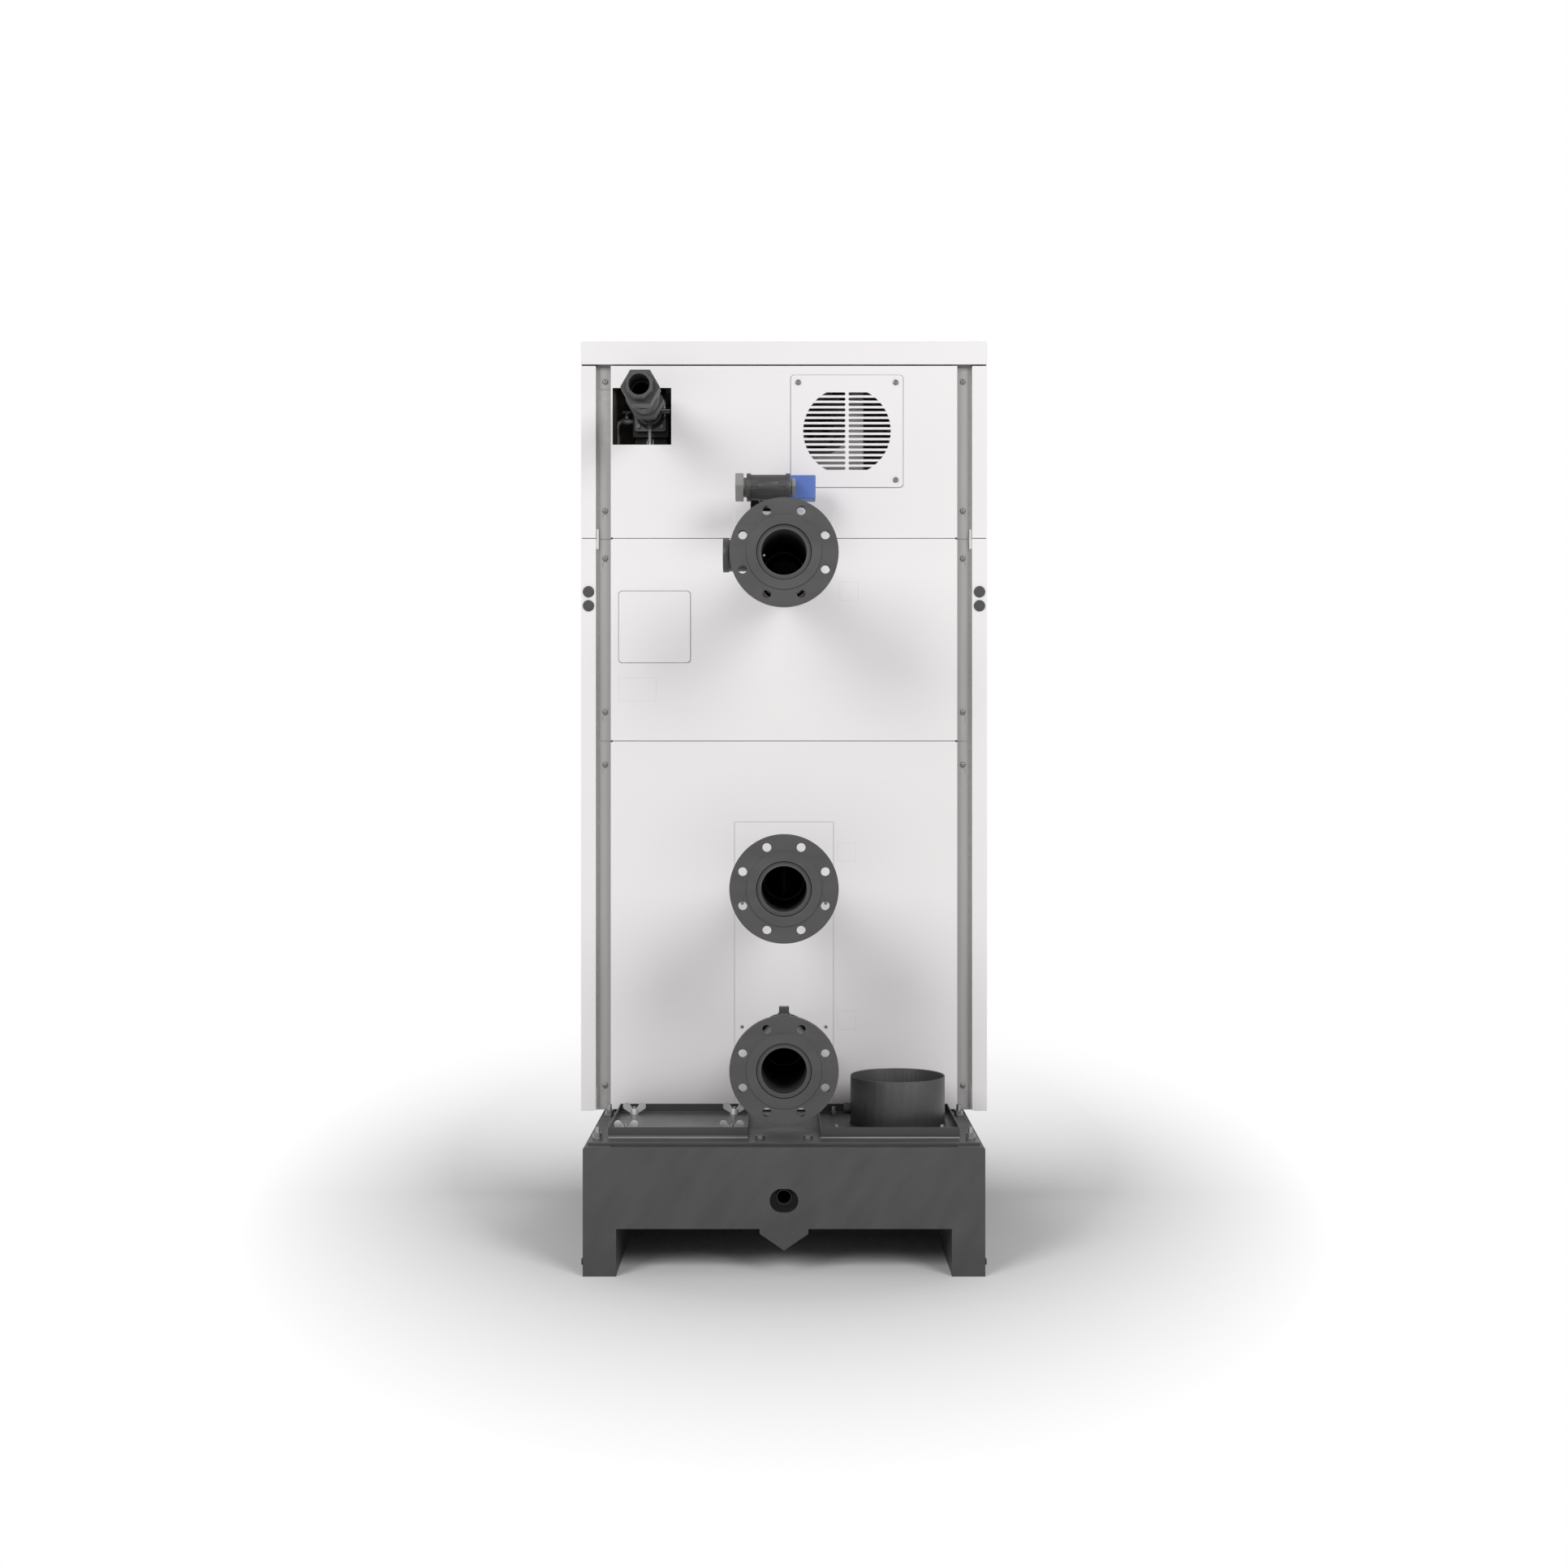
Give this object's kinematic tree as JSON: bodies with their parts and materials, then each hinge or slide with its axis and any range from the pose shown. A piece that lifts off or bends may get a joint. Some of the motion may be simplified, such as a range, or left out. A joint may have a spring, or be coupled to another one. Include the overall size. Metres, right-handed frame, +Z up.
{
  "type": "floor-standing condensing gas boiler",
  "caption": "Floor-standing condensing gas boiler: sheet-metal casing with hinged door on a steel base with sump, flanged water pipes, gas union, flue spigot and lift-off inspection cover.",
  "frame": {"origin": "on the floor, under the middle of the overall box", "axes": "+Z up, -Y out of the front door, +Y out of the pipe flanges, +X to the right as seen from the front"},
  "size_m": [0.9, 1.26, 1.972],
  "materials": {
    "base_paint": "fine matt dark grey powder coat",
    "casing_paint": "satin off-white powder coat",
    "pipe_paint": "semi-matt dark grey paint on welded steel",
    "lid_steel": "plain rolled stainless sheet",
    "zinc": "bright zinc plating",
    "bare_steel": "mill-finish stainless steel",
    "malleable_iron": "dark phosphated malleable iron",
    "plug_iron": "grey galvanised iron",
    "gasket_rubber": "pale sponge rubber",
    "black_rubber": "moulded black rubber",
    "blue_plastic": "blue moulded plastic",
    "black_plastic": "fine-grained black plastic",
    "red_plastic": "red gloss plastic",
    "display_glass": "dark display glass",
    "cast_aluminium": "sand-cast aluminium",
    "insulation": "foil-faced mineral wool"
  },
  "bodies": {
    "boiler": {"base_rail_left": "base_paint", "base_rail_right": "base_paint", "base_rear_plate": "base_paint", "base_front_plate": "base_paint", "sump_pan": "base_paint", "condensate_outlet": "black_plastic", "sump_lid": "lid_steel", "base_fasteners": "zinc", "cover_gaskets": "gasket_rubber", "flue_pan": "lid_steel", "flue_spigot": "bare_steel", "side_panel_left_lower": "casing_paint", "side_panel_right_lower": "casing_paint", "side_panel_left_upper": "casing_paint", "side_panel_right_upper": "casing_paint", "back_panel_top": "casing_paint", "back_panel_middle": "casing_paint", "back_panel_bottom": "casing_paint", "flow_insert_plate": "casing_paint", "return_insert_plate": "casing_paint", "grille_plate": "casing_paint", "panel_screws": "zinc", "cable_grommets": "black_rubber", "top_cover": "casing_paint", "casing_frame": "zinc", "control_fascia": "casing_paint", "hinge_pins": "zinc", "display": "display_glass", "pressure_vessel": "bare_steel", "smoke_tubes": "bare_steel", "insulation_jacket": "insulation", "burner": "bare_steel", "mixture_duct": "cast_aluminium", "fan_housing": "cast_aluminium", "fan_motor": "cast_aluminium", "gas_union": "malleable_iron", "gas_union_nut": "malleable_iron", "gas_valve": "cast_aluminium", "gas_mixer": "cast_aluminium", "purge_cock": "bare_steel", "flow_pipe": "pipe_paint", "upper_return_pipe": "pipe_paint", "lower_return_pipe": "pipe_paint", "pipe_flanges": "pipe_paint", "pipe_plugs": "pipe_paint", "safety_tee": "malleable_iron", "tee_fittings": "plug_iron", "flow_switch": "blue_plastic"},
    "front_door": {"front_door": "casing_paint"},
    "door_lock": {"door_lock": "zinc"},
    "selector_knob": {"selector_knob": "black_plastic"},
    "power_switch": {"power_switch": "black_plastic"},
    "reset_button": {"reset_button": "red_plastic"},
    "fan_impeller": {"fan_impeller": "cast_aluminium"},
    "purge_handle": {"purge_handle": "zinc"},
    "inspection_cover": {"inspection_cover": "lid_steel"},
    "wing_nut_1": {"wing_nut_1": "zinc"},
    "wing_nut_2": {"wing_nut_2": "zinc"},
    "wing_nut_3": {"wing_nut_3": "zinc"},
    "wing_nut_4": {"wing_nut_4": "zinc"}
  },
  "joints": [
    {"name": "door_hinge", "type": "hinge", "parent": "boiler", "child": "front_door", "pos_m": [-0.44, -0.614, 0.9], "axis": [0, 0, -1], "range_deg": [0, 110]},
    {"name": "lock_turn", "type": "hinge", "parent": "front_door", "child": "door_lock", "pos_m": [0.345, -0.61, 0.9], "axis": [0, -1, 0], "range_deg": [0, 90]},
    {"name": "knob_turn", "type": "hinge", "parent": "boiler", "child": "selector_knob", "pos_m": [0.062, -0.615, 1.7325], "axis": [0, 1, 0], "range_deg": [-150, 150]},
    {"name": "switch_rock", "type": "hinge", "parent": "boiler", "child": "power_switch", "pos_m": [0.165, -0.605, 1.752], "axis": [-1, 0, 0], "range_deg": [0, 16]},
    {"name": "reset_press", "type": "slide", "parent": "boiler", "child": "reset_button", "axis": [0, 1, 0], "range_m": [0, 0.0025], "stiffness_N_per_m": 400},
    {"name": "fan_spin", "type": "hinge", "parent": "boiler", "child": "fan_impeller", "pos_m": [-0.0775, 0, 1.815], "axis": [0, 1, 0], "continuous": true},
    {"name": "purge_turn", "type": "hinge", "parent": "boiler", "child": "purge_handle", "pos_m": [0.357, 0.141, 1.82], "axis": [0, 0, 1], "range_deg": [0, 90]},
    {"name": "cover_lift", "type": "slide", "parent": "boiler", "child": "inspection_cover", "axis": [0, 0, 1], "range_m": [0, 0.06]},
    {"name": "wing_nut_1_turn", "type": "hinge", "parent": "inspection_cover", "child": "wing_nut_1", "pos_m": [0.108, 0.302, 0.28], "axis": [0, 0, 1], "continuous": true},
    {"name": "wing_nut_2_turn", "type": "hinge", "parent": "inspection_cover", "child": "wing_nut_2", "pos_m": [0.108, 0.52, 0.28], "axis": [0, 0, 1], "continuous": true},
    {"name": "wing_nut_3_turn", "type": "hinge", "parent": "inspection_cover", "child": "wing_nut_3", "pos_m": [0.326, 0.302, 0.28], "axis": [0, 0, 1], "continuous": true},
    {"name": "wing_nut_4_turn", "type": "hinge", "parent": "inspection_cover", "child": "wing_nut_4", "pos_m": [0.326, 0.52, 0.28], "axis": [0, 0, 1], "continuous": true}
  ]
}
